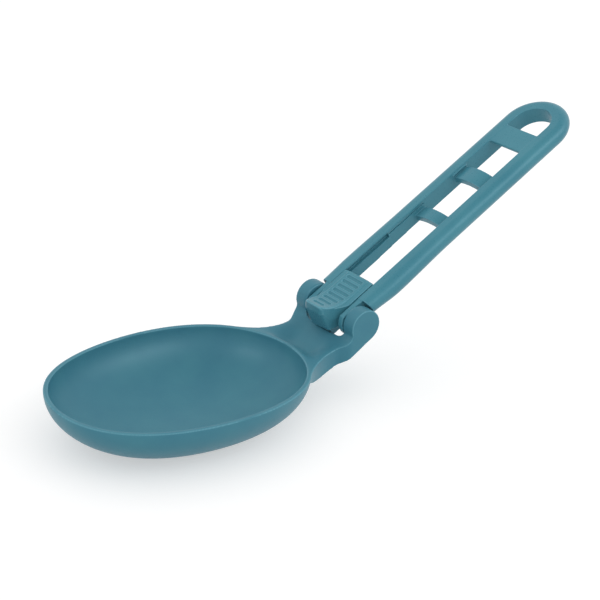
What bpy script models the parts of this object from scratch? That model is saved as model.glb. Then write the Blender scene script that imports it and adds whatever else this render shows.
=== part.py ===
"""A folding camp spoon: spoon head, ladder handle and the thumb slider that locks them.

Metres, +Z up. The bowl's rim is level and the handle rises along +X. The origin lies under
the middle of the whole spoon, on the surface that the bowl stands on.
"""

import math

import bmesh
import bpy
from mathutils import Matrix, Vector

# Pose and fits
handle_rise = math.radians(30)
fit_gap = 0.0003
cut_overrun = 0.002
edge_round = 0.0004
edge_round_steps = 2
seam_inset = 0.00005
sharp_angle = math.radians(38)

# Bowl, seen from above as an egg whose narrow end is the tip
bowl_half_length = 0.0417
bowl_half_width = 0.0316
bowl_reach = 0.0616
bowl_depth = 0.0170
bowl_wall = 0.0023
rim_width = 0.0015
rim_drop = 0.00773
egg_shares = (-0.046, 0.110, 0.022)
bowl_flat_share = 0.16
bowl_wall_power = 0.77
rim_start = bowl_reach - bowl_half_length
bowl_sides = 72
bowl_rings = 12

# Neck and ears, in the head's own frame: x from the hinge axis, z from it too
ear_radius = 0.0056
ear_half_spread = 0.0150
ear_thickness = 0.0045
waist_half_width = 0.0128
waist_reach = 0.0102
shoulder_reach = 0.0052
flare_lap = 0.0083
flare_reach = rim_start + flare_lap
flare_edge = 0.0009
neck_seat_reach = 0.0071
neck_seat_drop = 0.00138
neck_seat_chamfer = 0.0005
neck_seat_half_width = 0.0056
ear_front_reach = 0.00515
ear_front_drop = 0.0016
neck_root_drop = 0.0049
neck_steps = 14
across_steps = 14
ear_steps = 26
root_steps = 4
neck_belly = 0.0006
trough_share = 0.32
trough_rim_share = 0.95
slope_run = 0.0003
column_power = 1.6

# Shares that place the control points of the neck's three side curves
top_drop_shares = (0.80, 0.905)
top_run_share = 0.25
trough_reach_shares = (0.73, 0.76)
trough_depth_share = 0.24
under_reach_shares = (0.77, 0.65)
under_drop_shares = (1.54, 2.54)

# Pivots moulded on the ears
boss_radius = 0.0055
boss_height = 0.0007
boss_round = 0.0006
pocket_corner = 0.0031
pocket_corner_steps = 4
axle_radius = 0.0020
axle_sides = 24
boss_sides = 40

# Handle, in its own frame: x along it from the hinge axis, z square to its top face
handle_top = 0.00456
rail_height = 0.0063
rail_flat = 0.0024
slot_half_width = 0.0072
loop_reach = 0.0965
rail_front_reach = 0.0053
rail_front_slant = 0.0010
rail_front_share = 0.96
rail_swell_share = 1.075
rail_swell_reach = 0.0175
rail_swell_end = 0.0420
rail_swell_steps = 5
rail_round_steps = 10
loop_steps = 26

# Tongues, the two knuckles that the ears' axles turn in
tongue_thickness = 0.0020
tongue_root = 0.0090
knuckle_drop = 0.0002
knuckle_top = handle_top - knuckle_drop
knuckle_swell = 0.00104
knuckle_radius = knuckle_top + knuckle_swell
knuckle_stop = math.radians(300)
knuckle_steps = 14

# Cross bars, end web and wall ledges, placed from the loop's end forward
hole_straight = 0.0046
web_length = 0.0088
web_thickness = 0.0012
slot_three_length = 0.0125
bar_two_length = 0.0063
bar_two_drop = 0.0007
slot_two_length = 0.0150
bar_one_length = 0.0047
bar_one_drop = 0.00174
web_start = loop_reach - hole_straight - web_length
bar_two_start = web_start - slot_three_length - bar_two_length
bar_one_start = bar_two_start - slot_two_length - bar_one_length
bar_thickness = 0.0024
bar_crown = 0.00138
bar_steps = 12
ledge_height = 0.0005
ledge_depth = 0.0004
ledge_drop = 0.0008

# Grooves in the rails' inner walls, and the wings that run in them
groove_drop = 0.0007
groove_height = 0.0019
groove_depth = 0.0013
groove_start = 0.0072
groove_stop = 0.0123
groove_end = bar_one_start - groove_stop
wing_length = 0.0046

# Lock slider
slider_rear = 0.0129
slider_body_drop = 0.0058
block_top_drop = 0.0008
slider_top_rise = 0.00036
slider_top_half_width = 0.0051
ramp_start = 0.0051
ramp_front = -0.0072
ramp_rise = 0.0052
nose_half_width = 0.00376
nose_foot_half_width = 0.0051
nose_foot = -0.0080
nose_brow = -0.0080
nose_brow_rise = 0.0026
nose_brow_share = 0.3
nose_waist_share = 0.97
nose_foot_round = 0.0012
nose_root = 0.0016
nose_round = 0.0009
nose_round_steps = 3
slider_top_round = 0.0005
top_full = -0.0025
top_power = 2.2
top_edge_start = -0.0036
top_edge_full = 0.0022
top_edge_drop = 0.0007
top_edge_rise = 0.00015
top_round_share = 0.9
lip_gap = 0.00035
block_drop = 0.0036
block_length = 0.0040
block_half_width = 0.0036
ramp_steps = 10
grip_count = 8
grip_pitch = 0.00215
grip_width = 0.0013
grip_depth = 0.0005
grip_half_length = 0.0040
grip_end_steps = 5
grip_first = 0.0104
grip_taper_start = 0.0014
grip_taper_share = 0.23
rear_round = 0.0012

teal = (0.0802, 0.2140, 0.2664, 1.0)


def make_material(name, colour, roughness):
    """One plain moulded plastic."""
    material = bpy.data.materials.new(name)
    material.use_nodes = True
    shader = material.node_tree.nodes["Principled BSDF"]
    shader.inputs["Base Color"].default_value = colour
    shader.inputs["Roughness"].default_value = roughness
    shader.inputs["Metallic"].default_value = 0.0
    return material


def object_from(bm, name):
    """Put a bmesh in the scene as an object with outward faces, its bent quads split."""
    bmesh.ops.recalc_face_normals(bm, faces=bm.faces)
    bmesh.ops.triangulate(bm, faces=[face for face in bm.faces if len(face.verts) == 4])
    mesh = bpy.data.meshes.new(name)
    bm.to_mesh(mesh)
    bm.free()
    built = bpy.data.objects.new(name, mesh)
    bpy.context.collection.objects.link(built)
    return built


def skin(bm, rings, closed):
    """Join rows of vertices with quads, each row a closed ring where closed is set."""
    for first, second in zip(rings, rings[1:]):
        count = len(first)
        for i in range(count if closed else count - 1):
            j = (i + 1) % count
            bm.faces.new((first[i], first[j], second[j], second[i]))


def add_ring(bm, points):
    """Add one row of vertices."""
    return [bm.verts.new(point) for point in points]


def span(side, near, far):
    """The low and high y of a part that lies between two distances on one side."""
    return sorted((side * near, side * far))


def apply_boolean(body, tool, operation):
    """Combine a tool with a body for good, and drop the tool."""
    modifier = body.modifiers.new("combine", "BOOLEAN")
    modifier.operation = operation
    modifier.solver = "EXACT"
    modifier.object = tool
    bpy.context.view_layer.update()
    graph = bpy.context.evaluated_depsgraph_get()
    result = bpy.data.meshes.new_from_object(body.evaluated_get(graph))
    body.modifiers.clear()
    old = body.data
    body.data = result
    bpy.data.meshes.remove(old)
    bpy.data.objects.remove(tool)


def prism(name, outline, low_y, high_y):
    """A flat outline in x and z, given some thickness in y."""
    bm = bmesh.new()
    face = bm.faces.new(add_ring(bm, [(x, low_y, z) for x, z in outline]))
    pushed = bmesh.ops.extrude_face_region(bm, geom=[face])
    moved = [part for part in pushed["geom"] if isinstance(part, bmesh.types.BMVert)]
    bmesh.ops.translate(bm, verts=moved, vec=(0, high_y - low_y, 0))
    return object_from(bm, name)


def box(name, low, high):
    """A box between two corners."""
    bm = bmesh.new()
    bmesh.ops.create_cube(bm, size=1)
    low, high = Vector(low), Vector(high)
    bmesh.ops.scale(bm, verts=bm.verts, vec=high - low)
    bmesh.ops.translate(bm, verts=bm.verts, vec=(high + low) / 2)
    return object_from(bm, name)


def round_upright_edges(piece, radius, steps):
    """Round the upright edges at a box's low x end."""
    bm = bmesh.new()
    bm.from_mesh(piece.data)
    front = min(vert.co.x for vert in bm.verts)
    edges = []
    for edge in bm.edges:
        first, second = edge.verts
        if first.co.x == second.co.x == front and first.co.y == second.co.y:
            edges.append(edge)
    bmesh.ops.bevel(
        bm, geom=edges, offset=radius, segments=steps, profile=0.5, affect="EDGES"
    )
    bm.to_mesh(piece.data)
    bm.free()


def round_flat_end(piece, y, radius, steps):
    """Round the rim of a turned piece's flat end at one y."""
    bm = bmesh.new()
    bm.from_mesh(piece.data)
    edges = []
    for edge in bm.edges:
        at_end = all(abs(vert.co.y - y) < seam_inset for vert in edge.verts)
        if at_end and edge.calc_face_angle(0) > sharp_angle:
            edges.append(edge)
    bmesh.ops.bevel(
        bm, geom=edges, offset=radius, segments=steps, profile=0.5, affect="EDGES"
    )
    bm.to_mesh(piece.data)
    bm.free()


def cylinder_y(name, radius, low_y, high_y, sides):
    """A cylinder about the hinge axis."""
    bm = bmesh.new()
    bmesh.ops.create_cone(
        bm, cap_ends=True, segments=sides, radius1=radius, radius2=radius, depth=high_y - low_y
    )
    turn = Matrix.Rotation(math.radians(90), 3, "X")
    bmesh.ops.rotate(bm, verts=bm.verts, cent=(0, 0, 0), matrix=turn)
    bmesh.ops.translate(bm, verts=bm.verts, vec=(0, (low_y + high_y) / 2, 0))
    return object_from(bm, name)


def bezier(points, share):
    """A place on a cubic curve through four control points."""
    rest = 1 - share
    weights = (rest**3, 3 * rest**2 * share, 3 * rest * share**2, share**3)
    return (
        sum(weight * point[0] for weight, point in zip(weights, points)),
        sum(weight * point[1] for weight, point in zip(weights, points)),
    )


def smooth_step(low, high, value):
    """Rise from 0 to 1 between two values, level at both."""
    share = min(max((value - low) / (high - low), 0), 1)
    return share * share * (3 - 2 * share)


def egg_point(angle, half_length, half_width):
    """A point on the bowl's plan outline, about the bowl's middle; angle 0 is the tip."""
    along = math.cos(angle)
    swell = 1 + sum(share * along ** (i + 1) for i, share in enumerate(egg_shares))
    return -half_length * along, half_width * math.sin(angle) * swell


def egg_half_width(x, grow):
    """The outline's half width at a place x from the hinge axis."""
    half_length = bowl_half_length + grow
    angle = math.acos((-bowl_reach - x) / half_length)
    return egg_point(angle, half_length, bowl_half_width + grow)[1]


def dome(name, grow, depth, lid):
    """The closed solid under one of the bowl's two surfaces, from its flat bottom to a lid."""
    bm = bmesh.new()
    half_length = bowl_half_length + grow
    half_width = bowl_half_width + grow
    angles = [2 * math.pi * i / bowl_sides for i in range(bowl_sides)]
    rings = []
    for k in range(bowl_rings + 1):
        turn = math.pi / 2 * k / bowl_rings
        size = bowl_flat_share + (1 - bowl_flat_share) * max(math.cos(turn), 0) ** bowl_wall_power
        level = -rim_drop - depth * math.sin(turn)
        points = [egg_point(angle, half_length * size, half_width * size) for angle in angles]
        rings.append(add_ring(bm, [(x - bowl_reach, y, level) for x, y in points]))
    bm.faces.new(rings[-1])
    if lid:
        points = [egg_point(angle, half_length, half_width) for angle in angles]
        top = add_ring(bm, [(x - bowl_reach, y, lid - rim_drop) for x, y in points])
        rings.insert(0, top)
    bm.faces.new(rings[0])
    skin(bm, rings, True)
    return object_from(bm, name)


def head_place(x, z):
    """Turn a place given along and square to the handle into the head's level frame."""
    return (
        x * math.cos(handle_rise) - z * math.sin(handle_rise),
        x * math.sin(handle_rise) + z * math.cos(handle_rise),
    )


def neck_half_width(x):
    """The neck's half width: the ears' spread, a waist, then the flare into the bowl."""
    if x > -waist_reach:
        share = smooth_step(-waist_reach, -shoulder_reach, x)
        return waist_half_width + (ear_half_spread - waist_half_width) * share
    run = flare_reach - waist_reach
    share = min((-waist_reach - x) / run, 1)
    end = egg_half_width(-flare_reach, rim_width) - seam_inset
    slope = (egg_half_width(-flare_reach - slope_run, rim_width) - end) / slope_run
    start_weight = 1 - 3 * share**2 + 2 * share**3
    end_pull = (share**3 - share**2) * run * slope
    return waist_half_width * start_weight + end * (1 - start_weight) + end_pull


def neck_curves():
    """The side curves of the neck's top edge, its trough and its underside."""
    run = flare_reach - ear_front_reach
    top_curve = (
        (-ear_front_reach, -ear_front_drop),
        (-ear_front_reach, -rim_drop * top_drop_shares[0]),
        (-ear_front_reach - run * top_run_share, -rim_drop * top_drop_shares[1]),
        (-rim_start, -rim_drop),
    )
    trough_curve = (
        head_place(-neck_seat_reach, -neck_seat_drop),
        head_place(-rim_start * trough_reach_shares[0], -neck_seat_drop),
        (
            -rim_start * trough_reach_shares[1],
            -rim_drop - bowl_depth * trough_depth_share,
        ),
        (-rim_start, -rim_drop),
    )
    under_curve = (
        (math.sqrt(ear_radius**2 - neck_root_drop**2), -neck_root_drop),
        (-waist_reach * under_reach_shares[0], -rim_drop * under_drop_shares[0]),
        (-flare_reach * under_reach_shares[1], -rim_drop * under_drop_shares[1]),
        (-flare_reach, -rim_drop - flare_edge),
    )
    return top_curve, trough_curve, under_curve


def curve_line(curve, count):
    """Points close together along a cubic curve."""
    return [bezier(curve, i / count) for i in range(count + 1)]


def level_on(line, x):
    """The height of a line of points that runs towards -x, at one x."""
    for (x1, z1), (x2, z2) in zip(line, line[1:]):
        if x2 <= x <= x1:
            return z1 + (z2 - z1) * (x1 - x) / (x1 - x2)
    return line[0][1] if x > line[0][0] else line[-1][1]


def build_neck_block():
    """The neck and both ears as one block: a side outline carried across its width."""
    top_curve, trough_curve, under_curve = neck_curves()
    seat_x, seat_z = trough_curve[0]
    root_x = under_curve[0][0]
    count = neck_steps * ear_steps
    top_line = curve_line(top_curve, count)
    trough_line = curve_line(trough_curve, count)
    under_line = curve_line(under_curve, count)

    # Columns from the ear's front to the flare, close together where the top edge is steep
    columns = []
    for i in range(neck_steps + 1):
        share = (i / neck_steps) ** column_power
        columns.append(-ear_front_reach - (flare_reach - ear_front_reach) * share)
    circle_from = math.atan2(-neck_root_drop, root_x)
    circle_to = math.pi + math.asin(ear_front_drop / ear_radius)
    circle = []
    for i in range(ear_steps + 1):
        angle = circle_from + (circle_to - circle_from) * i / ear_steps
        circle.append((ear_radius * math.cos(angle), ear_radius * math.sin(angle)))
    across = [-1 + 2 * i / across_steps for i in range(across_steps + 1)]

    bm = bmesh.new()
    top_rows = []
    under_rows = []
    for x in columns:
        width = neck_half_width(x)
        belly = neck_belly * smooth_step(ear_front_reach, flare_reach, -x)
        side = level_on(top_line, x)
        middle = min(level_on(trough_line, x), side) if x < seat_x else seat_z
        if x < -rim_start:
            middle = -rim_drop
            side = -rim_drop
        lower = level_on(under_line, x)
        top_row = []
        under_row = []
        for share in across:
            lift = smooth_step(trough_share, trough_rim_share, abs(share))
            top_row.append((x, width * share, middle + (side - middle) * lift))
            under_row.append((x, width * share, lower - belly * (1 - share**2)))
        top_rows.append(add_ring(bm, top_row))
        under_rows.append(add_ring(bm, under_row))
    ear_rows = []
    for x, z in circle[1:-1]:
        ear_rows.append(add_ring(bm, [(x, ear_half_spread * share, z) for share in across]))
    root = [(circle[0][0], ear_half_spread * share, circle[0][1]) for share in across]
    root_row = add_ring(bm, root)
    ear_rows = [root_row] + ear_rows
    skin(bm, ear_rows + [top_rows[0]], False)
    skin(bm, top_rows, False)
    skin(bm, under_rows, False)
    belly_rows = [root_row]
    for i in range(1, root_steps):
        x = root_x - (root_x + ear_front_reach) * i / root_steps
        lower = level_on(under_line, x)
        row = [(x, ear_half_spread * share, lower) for share in across]
        belly_rows.append(add_ring(bm, row))
    belly_rows.append(under_rows[0])
    skin(bm, belly_rows, False)
    skin(bm, [top_rows[-1], under_rows[-1]], False)
    for side in (0, -1):
        for first, second in zip(range(neck_steps), range(1, neck_steps + 1)):
            bm.faces.new(
                (
                    top_rows[first][side],
                    top_rows[second][side],
                    under_rows[second][side],
                    under_rows[first][side],
                )
            )
        rim = [row[side] for row in ear_rows + [top_rows[0]] + belly_rows[:0:-1]]
        bm.faces.new(rim)
    bmesh.ops.recalc_face_normals(bm, faces=bm.faces)
    side_edges = []
    for edge in bm.edges:
        inner = all(vert.co.x > -flare_reach + cut_overrun for vert in edge.verts)
        if inner and edge.calc_face_angle(0) > sharp_angle and all(
            abs(abs(vert.co.y) - neck_half_width(vert.co.x)) < edge_round for vert in edge.verts
        ):
            side_edges.append(edge)
    bmesh.ops.bevel(
        bm,
        geom=side_edges,
        offset=edge_round,
        segments=edge_round_steps,
        profile=0.5,
        affect="EDGES",
        clamp_overlap=True,
    )
    return object_from(bm, "neck_block")


def build_head():
    """Bowl, neck and ears with their bosses and stub axles, as one moulding."""
    head = dome("spoon_head", rim_width, bowl_depth, 0)
    apply_boolean(head, build_neck_block(), "UNION")
    apply_boolean(head, dome("cavity", 0, bowl_depth - bowl_wall, cut_overrun), "DIFFERENCE")

    # The open space between the ears, square to the handle, that the tongues turn in
    inner = ear_half_spread - ear_thickness
    reach = ear_radius + cut_overrun
    pocket = box(
        "pocket",
        (-neck_seat_reach, -inner, -reach - cut_overrun),
        (reach, inner, reach + cut_overrun),
    )
    round_upright_edges(pocket, pocket_corner, pocket_corner_steps)
    turn = Matrix.Rotation(-handle_rise, 4, "Y")
    pocket.data.transform(turn)
    apply_boolean(head, pocket, "DIFFERENCE")
    corner = neck_seat_chamfer
    chamfer = prism(
        "seat_chamfer",
        [
            (-neck_seat_reach - corner - fit_gap, -neck_seat_drop + fit_gap),
            (-neck_seat_reach + fit_gap, -neck_seat_drop + fit_gap),
            (-neck_seat_reach + fit_gap, -neck_seat_drop - corner - fit_gap),
        ],
        -neck_seat_half_width,
        neck_seat_half_width,
    )
    chamfer.data.transform(turn)
    apply_boolean(head, chamfer, "DIFFERENCE")
    boss_face = inner - boss_height
    axle_face = slot_half_width + fit_gap / 2
    for side in (-1, 1):
        ends = span(side, boss_face, inner + ear_thickness / 2)
        boss = cylinder_y("boss", boss_radius, *ends, boss_sides)
        round_flat_end(boss, side * boss_face, boss_round, edge_round_steps)
        apply_boolean(head, boss, "UNION")
        ends = span(side, axle_face, inner)
        apply_boolean(head, cylinder_y("axle", axle_radius, *ends, axle_sides), "UNION")
    return head


def rail_section(inner):
    """The rail's cross section from its inner top corner round to its inner bottom corner."""
    radius = rail_height / 2
    middle = handle_top - radius
    points = [(inner, handle_top)]
    for i in range(rail_round_steps + 1):
        angle = math.pi / 2 - math.pi * i / rail_round_steps
        y = inner + rail_flat + radius * math.cos(angle)
        points.append((y, middle + radius * math.sin(angle)))
    points.append((inner, handle_top - rail_height))
    return points


def rail_swell(reach):
    """How wide and deep a rail is at one place, next to its size near the loop."""
    if reach < rail_swell_reach:
        grown = smooth_step(rail_front_reach, rail_swell_reach, reach)
        return rail_front_share + (rail_swell_share - rail_front_share) * grown
    return 1 + (rail_swell_share - 1) * smooth_step(rail_swell_end, rail_swell_reach, reach)


def rail_reaches():
    """Where the rows along a rail lie, from its front end to where its swell has died away."""
    reaches = []
    for start, stop in ((rail_front_reach, rail_swell_reach), (rail_swell_reach, rail_swell_end)):
        for i in range(rail_swell_steps):
            reaches.append(start + (stop - start) * i / rail_swell_steps)
    return reaches + [rail_swell_end]


def rail_rows(side):
    """Rows of points round a rail, the first one slanted."""
    rows = []
    for i, reach in enumerate(rail_reaches()):
        row = []
        for y, z in rail_section(slot_half_width):
            aside = (y - slot_half_width) * rail_swell(reach)
            below = (handle_top - z) * rail_swell(reach)
            slant = 0 if i else rail_front_slant * (handle_top - z) / rail_height
            row.append((reach + slant, side * (slot_half_width + aside), handle_top - below))
        rows.append(row)
    return rows


def build_rails():
    """Both rails and the round end loop, swept as one bar."""
    bm = bmesh.new()
    section = rail_section(slot_half_width)
    rings = [add_ring(bm, row) for row in rail_rows(-1)]
    for i in range(loop_steps + 1):
        angle = -math.pi / 2 + math.pi * i / loop_steps
        ring = []
        for y, z in section:
            ring.append((loop_reach + y * math.cos(angle), y * math.sin(angle), z))
        rings.append(add_ring(bm, ring))
    rings += [add_ring(bm, row) for row in reversed(rail_rows(1))]
    skin(bm, rings, True)
    bm.faces.new(rings[0])
    bm.faces.new(rings[-1])
    return object_from(bm, "handle_frame")


def crowned_bar(name, start, length, drop):
    """A cross bar between the rails, arched across the handle above and below."""
    half = slot_half_width + groove_depth
    radius = (slot_half_width**2 + bar_crown**2) / (2 * bar_crown)
    upper = []
    for i in range(bar_steps + 1):
        y = -half + 2 * half * i / bar_steps
        sag = radius - math.sqrt(radius**2 - y**2)
        upper.append((y, handle_top - drop - sag))
    lower = [(y, z - bar_thickness) for y, z in reversed(upper)]
    bm = bmesh.new()
    face = bm.faces.new(add_ring(bm, [(start, y, z) for y, z in upper + lower]))
    pushed = bmesh.ops.extrude_face_region(bm, geom=[face])
    moved = [part for part in pushed["geom"] if isinstance(part, bmesh.types.BMVert)]
    bmesh.ops.translate(bm, verts=moved, vec=(length, 0, 0))
    return object_from(bm, name)


def tongue(side):
    """A knuckle round the hinge axis, flat on top, with a root that runs into its rail."""
    outline = []
    start = math.pi - math.asin(knuckle_top / knuckle_radius)
    for i in range(knuckle_steps + 1):
        angle = start + (knuckle_stop - start) * i / knuckle_steps
        outline.append((knuckle_radius * math.cos(angle), knuckle_radius * math.sin(angle)))
    outline.append((tongue_root, handle_top - rail_height * rail_front_share + seam_inset))
    outline.append((tongue_root, knuckle_top))
    return prism("tongue", outline, *span(side, slot_half_width, slot_half_width + tongue_thickness))


def build_handle():
    """The ladder handle: rails, loop, tongues, bars and web as one moulding."""
    handle = build_rails()
    inside = slot_half_width - cut_overrun
    groove_wall = slot_half_width + groove_depth
    groove_top = handle_top - groove_drop
    for side in (-1, 1):
        apply_boolean(handle, tongue(side), "UNION")
        ends = span(side, inside, slot_half_width + tongue_thickness + cut_overrun)
        hole = cylinder_y("hole", axle_radius + fit_gap, *ends, axle_sides)
        apply_boolean(handle, hole, "DIFFERENCE")
        wall = span(side, inside, groove_wall)
        groove = box(
            "groove",
            (groove_start, wall[0], groove_top - groove_height),
            (groove_end, wall[1], groove_top),
        )
        apply_boolean(handle, groove, "DIFFERENCE")
    bars = (
        crowned_bar("bar", bar_one_start, bar_one_length, bar_one_drop),
        crowned_bar("bar", bar_two_start, bar_two_length, bar_two_drop),
    )
    for bar in bars:
        apply_boolean(handle, bar, "UNION")
    top = handle_top - seam_inset
    web = box(
        "web",
        (web_start, -groove_wall, top - web_thickness),
        (web_start + web_length, groove_wall, top),
    )
    apply_boolean(handle, web, "UNION")
    for side in (-1, 1):
        wall = span(side, slot_half_width - ledge_depth, groove_wall)
        top = handle_top - ledge_drop
        ledge = box(
            "ledge",
            (bar_two_start - ledge_depth, wall[0], top - ledge_height),
            (bar_two_start + bar_two_length, wall[1], top),
        )
        apply_boolean(handle, ledge, "UNION")
    return handle


def ramp_top(x):
    """The slider's top face: level at the rear, an arc rising to the nose."""
    level = handle_top + slider_top_rise
    run = ramp_start - ramp_front
    radius = (run**2 + ramp_rise**2) / (2 * ramp_rise)
    ahead = min(max(ramp_start - x, 0), run)
    return level + radius - math.sqrt(radius**2 - ahead**2), math.asin(ahead / radius)


def corner_points(half_width, top, radius):
    """The rounded corner between the slider's top and its side."""
    points = []
    for i in range(nose_round_steps + 1):
        angle = math.pi / 2 * i / nose_round_steps
        y = half_width - radius + radius * math.sin(angle)
        points.append((y, top - radius + radius * math.cos(angle)))
    return points


def slider_top_half(x):
    """The top face's half width, which opens quickly behind the nose."""
    ahead = min(max((top_full - x) / (top_full - ramp_front), 0), 1)
    share = 1 - ahead**top_power
    return nose_half_width + (slider_top_half_width - nose_half_width) * share


def slider_row(x):
    """One half of the slider's cross section at x, from its top corner down to its foot."""
    body_half = slot_half_width - fit_gap
    low = -neck_seat_drop + lip_gap if x < nose_root else handle_top - slider_body_drop
    share = smooth_step(ramp_front, top_edge_full, x)
    spread = smooth_step(top_edge_start, top_edge_full, x)
    pulled = rear_round if x == slider_rear else 0
    top = ramp_top(x)[0] - pulled
    top_half = slider_top_half(x)
    edge_half = top_half + (body_half - slider_top_half_width) * spread
    edge = max(top - top_edge_drop, handle_top + top_edge_rise - pulled)
    foot_half = nose_foot_half_width + (body_half - nose_foot_half_width) * share
    foot_half = max(foot_half, edge_half)
    radius = nose_round + (slider_top_round - nose_round) * spread
    points = corner_points(top_half, top, min(radius, (top - edge) * top_round_share))
    points.append((edge_half, edge))
    points.append((foot_half, (edge + low) / 2))
    points.append((foot_half, low + edge_round))
    points.append((foot_half - edge_round, low))
    return [(x, y, z) for y, z in points]


def nose_row(turn):
    """One half of the nose's outline; its front edge is rounded as turn goes from 0 to a quarter."""
    inset = nose_round * (1 - math.sin(turn))
    back = nose_round * (1 - math.cos(turn))
    lip = -neck_seat_drop + lip_gap
    top = ramp_top(ramp_front + back)[0] - inset
    top_half = slider_top_half(ramp_front + back)
    brow_half = top_half + (nose_foot_half_width - top_half) * nose_brow_share
    waist_z = (handle_top - block_top_drop + lip) / 2
    brow_top = handle_top + nose_brow_rise
    row = []
    for y, z in corner_points(top_half - inset, top, nose_round):
        front = ramp_front + (nose_brow - ramp_front) * (top - z) / (top - brow_top)
        row.append((front + back, y, z))
    row.append((nose_brow + back, brow_half - inset, brow_top))
    waist_half = nose_foot_half_width * nose_waist_share - inset
    row.append(((nose_brow + nose_foot) / 2 + back, waist_half, waist_z))
    row.append((nose_foot + back, nose_foot_half_width - inset, lip + nose_foot_round))
    row.append((nose_foot + back, nose_foot_half_width - nose_foot_round - inset, lip))
    return row


def slider_shell():
    """The slider's outer shape, skinned along its length and closed at both ends."""
    rows = []
    for i in range(nose_round_steps + 1):
        rows.append(nose_row(math.pi / 2 * i / nose_round_steps))
    for i in range(1, ramp_steps + 1):
        rows.append(slider_row(ramp_front + (ramp_start - ramp_front) * i / ramp_steps))
    rows.append(slider_row(slider_rear - rear_round))
    rows.append(slider_row(slider_rear))
    bm = bmesh.new()
    rings = []
    for row in rows:
        rings.append(add_ring(bm, row + [(x, -y, z) for x, y, z in reversed(row)]))
    skin(bm, rings, True)
    for ring in (rings[0], rings[-1]):
        for i in range(len(rows[0]) - 1):
            bm.faces.new((ring[i], ring[i + 1], ring[-2 - i], ring[-1 - i]))
    return object_from(bm, "lock_slider")


def grip_cutter(x):
    """A round-ended slot, square to the ramp at one place along it; shorter near the nose."""
    radius = grip_width / 2
    half_length = grip_half_length - max(grip_taper_start - x, 0) * grip_taper_share
    bm = bmesh.new()
    outline = []
    for side in (-1, 1):
        for i in range(grip_end_steps + 1):
            angle = math.pi * i / grip_end_steps
            y = side * (half_length - radius + radius * math.sin(angle))
            outline.append((side * radius * math.cos(angle), y, -grip_depth))
    face = bm.faces.new(add_ring(bm, outline))
    pushed = bmesh.ops.extrude_face_region(bm, geom=[face])
    moved = [part for part in pushed["geom"] if isinstance(part, bmesh.types.BMVert)]
    bmesh.ops.translate(bm, verts=moved, vec=(0, 0, grip_depth + cut_overrun))
    height, slope = ramp_top(x)
    place = Matrix.Translation((x, 0, height)) @ Matrix.Rotation(slope, 4, "Y")
    bmesh.ops.transform(bm, matrix=place, verts=bm.verts)
    return object_from(bm, "grip")


def build_slider():
    """The thumb slider with its nose, lip, lock block, wings and grip grooves."""
    slider = slider_shell()

    # The block that stands behind the neck's rear wall, and the side wings
    block_front = -neck_seat_reach + fit_gap
    block_top = handle_top - block_top_drop - fit_gap
    block = box(
        "block",
        (block_front, -block_half_width, -block_drop),
        (block_front + block_length, block_half_width, block_top),
    )
    apply_boolean(slider, block, "UNION")
    wing_start = groove_start + fit_gap
    wing_top = handle_top - groove_drop - fit_gap
    wing_low = handle_top - groove_drop - groove_height + fit_gap
    inside = slot_half_width - cut_overrun
    for side in (-1, 1):
        wall = span(side, inside, slot_half_width + groove_depth - fit_gap)
        wing = box(
            "wing",
            (wing_start, wall[0], wing_low),
            (wing_start + wing_length, wall[1], wing_top),
        )
        apply_boolean(slider, wing, "UNION")
    for i in range(grip_count):
        apply_boolean(slider, grip_cutter(grip_first - grip_pitch * i), "DIFFERENCE")
    return slider


def finish(piece, material):
    """Shade the round faces smooth and give the piece its plastic."""
    piece.data.materials.clear()
    piece.data.materials.append(material)
    piece.data.shade_smooth()
    piece.data.set_sharp_from_angle(angle=sharp_angle)


def build_spoon():
    """Build the three mouldings and set them about the hinge axis."""
    for old in list(bpy.data.objects):
        bpy.data.objects.remove(old, do_unlink=True)
    rail_radius = rail_height / 2
    outer = slot_half_width + rail_flat
    middle = handle_top - rail_radius
    tip = bowl_reach + bowl_half_length + rim_width
    far_end = (
        (loop_reach + outer) * math.cos(handle_rise)
        - middle * math.sin(handle_rise)
        + rail_radius
    )
    hinge = bpy.data.objects.new("hinge_axis", None)
    bpy.context.collection.objects.link(hinge)
    hinge.location = ((tip - far_end) / 2, 0, rim_drop + bowl_depth)
    hinge.rotation_euler = (0, -handle_rise, 0)

    head = build_head()
    head.location = hinge.location
    handle = build_handle()
    slider = build_slider()
    for piece in (handle, slider):
        piece.parent = hinge
    finish(head, make_material("head plastic", teal, 0.5))
    finish(handle, make_material("handle plastic", teal, 0.45))
    finish(slider, make_material("slider plastic", teal, 0.45))


build_spoon()
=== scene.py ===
"""A folding camp spoon in moulded nylon, on a pale studio floor.

Each of the three mouldings is modelled here in full detail and stands for its plain solid:
the spoon head, the ladder handle and the thumb slider that locks them. All sizes are in
metres. The handle and the slider are modelled lying along +X about the hinge axis, and then
turned up to the pose that the spoon is photographed in.
"""

import logging
import math
from dataclasses import dataclass, field, replace
from enum import Enum
from typing import Any, Callable, Sequence

import bpy
import numpy as np
from mathutils import Matrix, Vector


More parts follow.
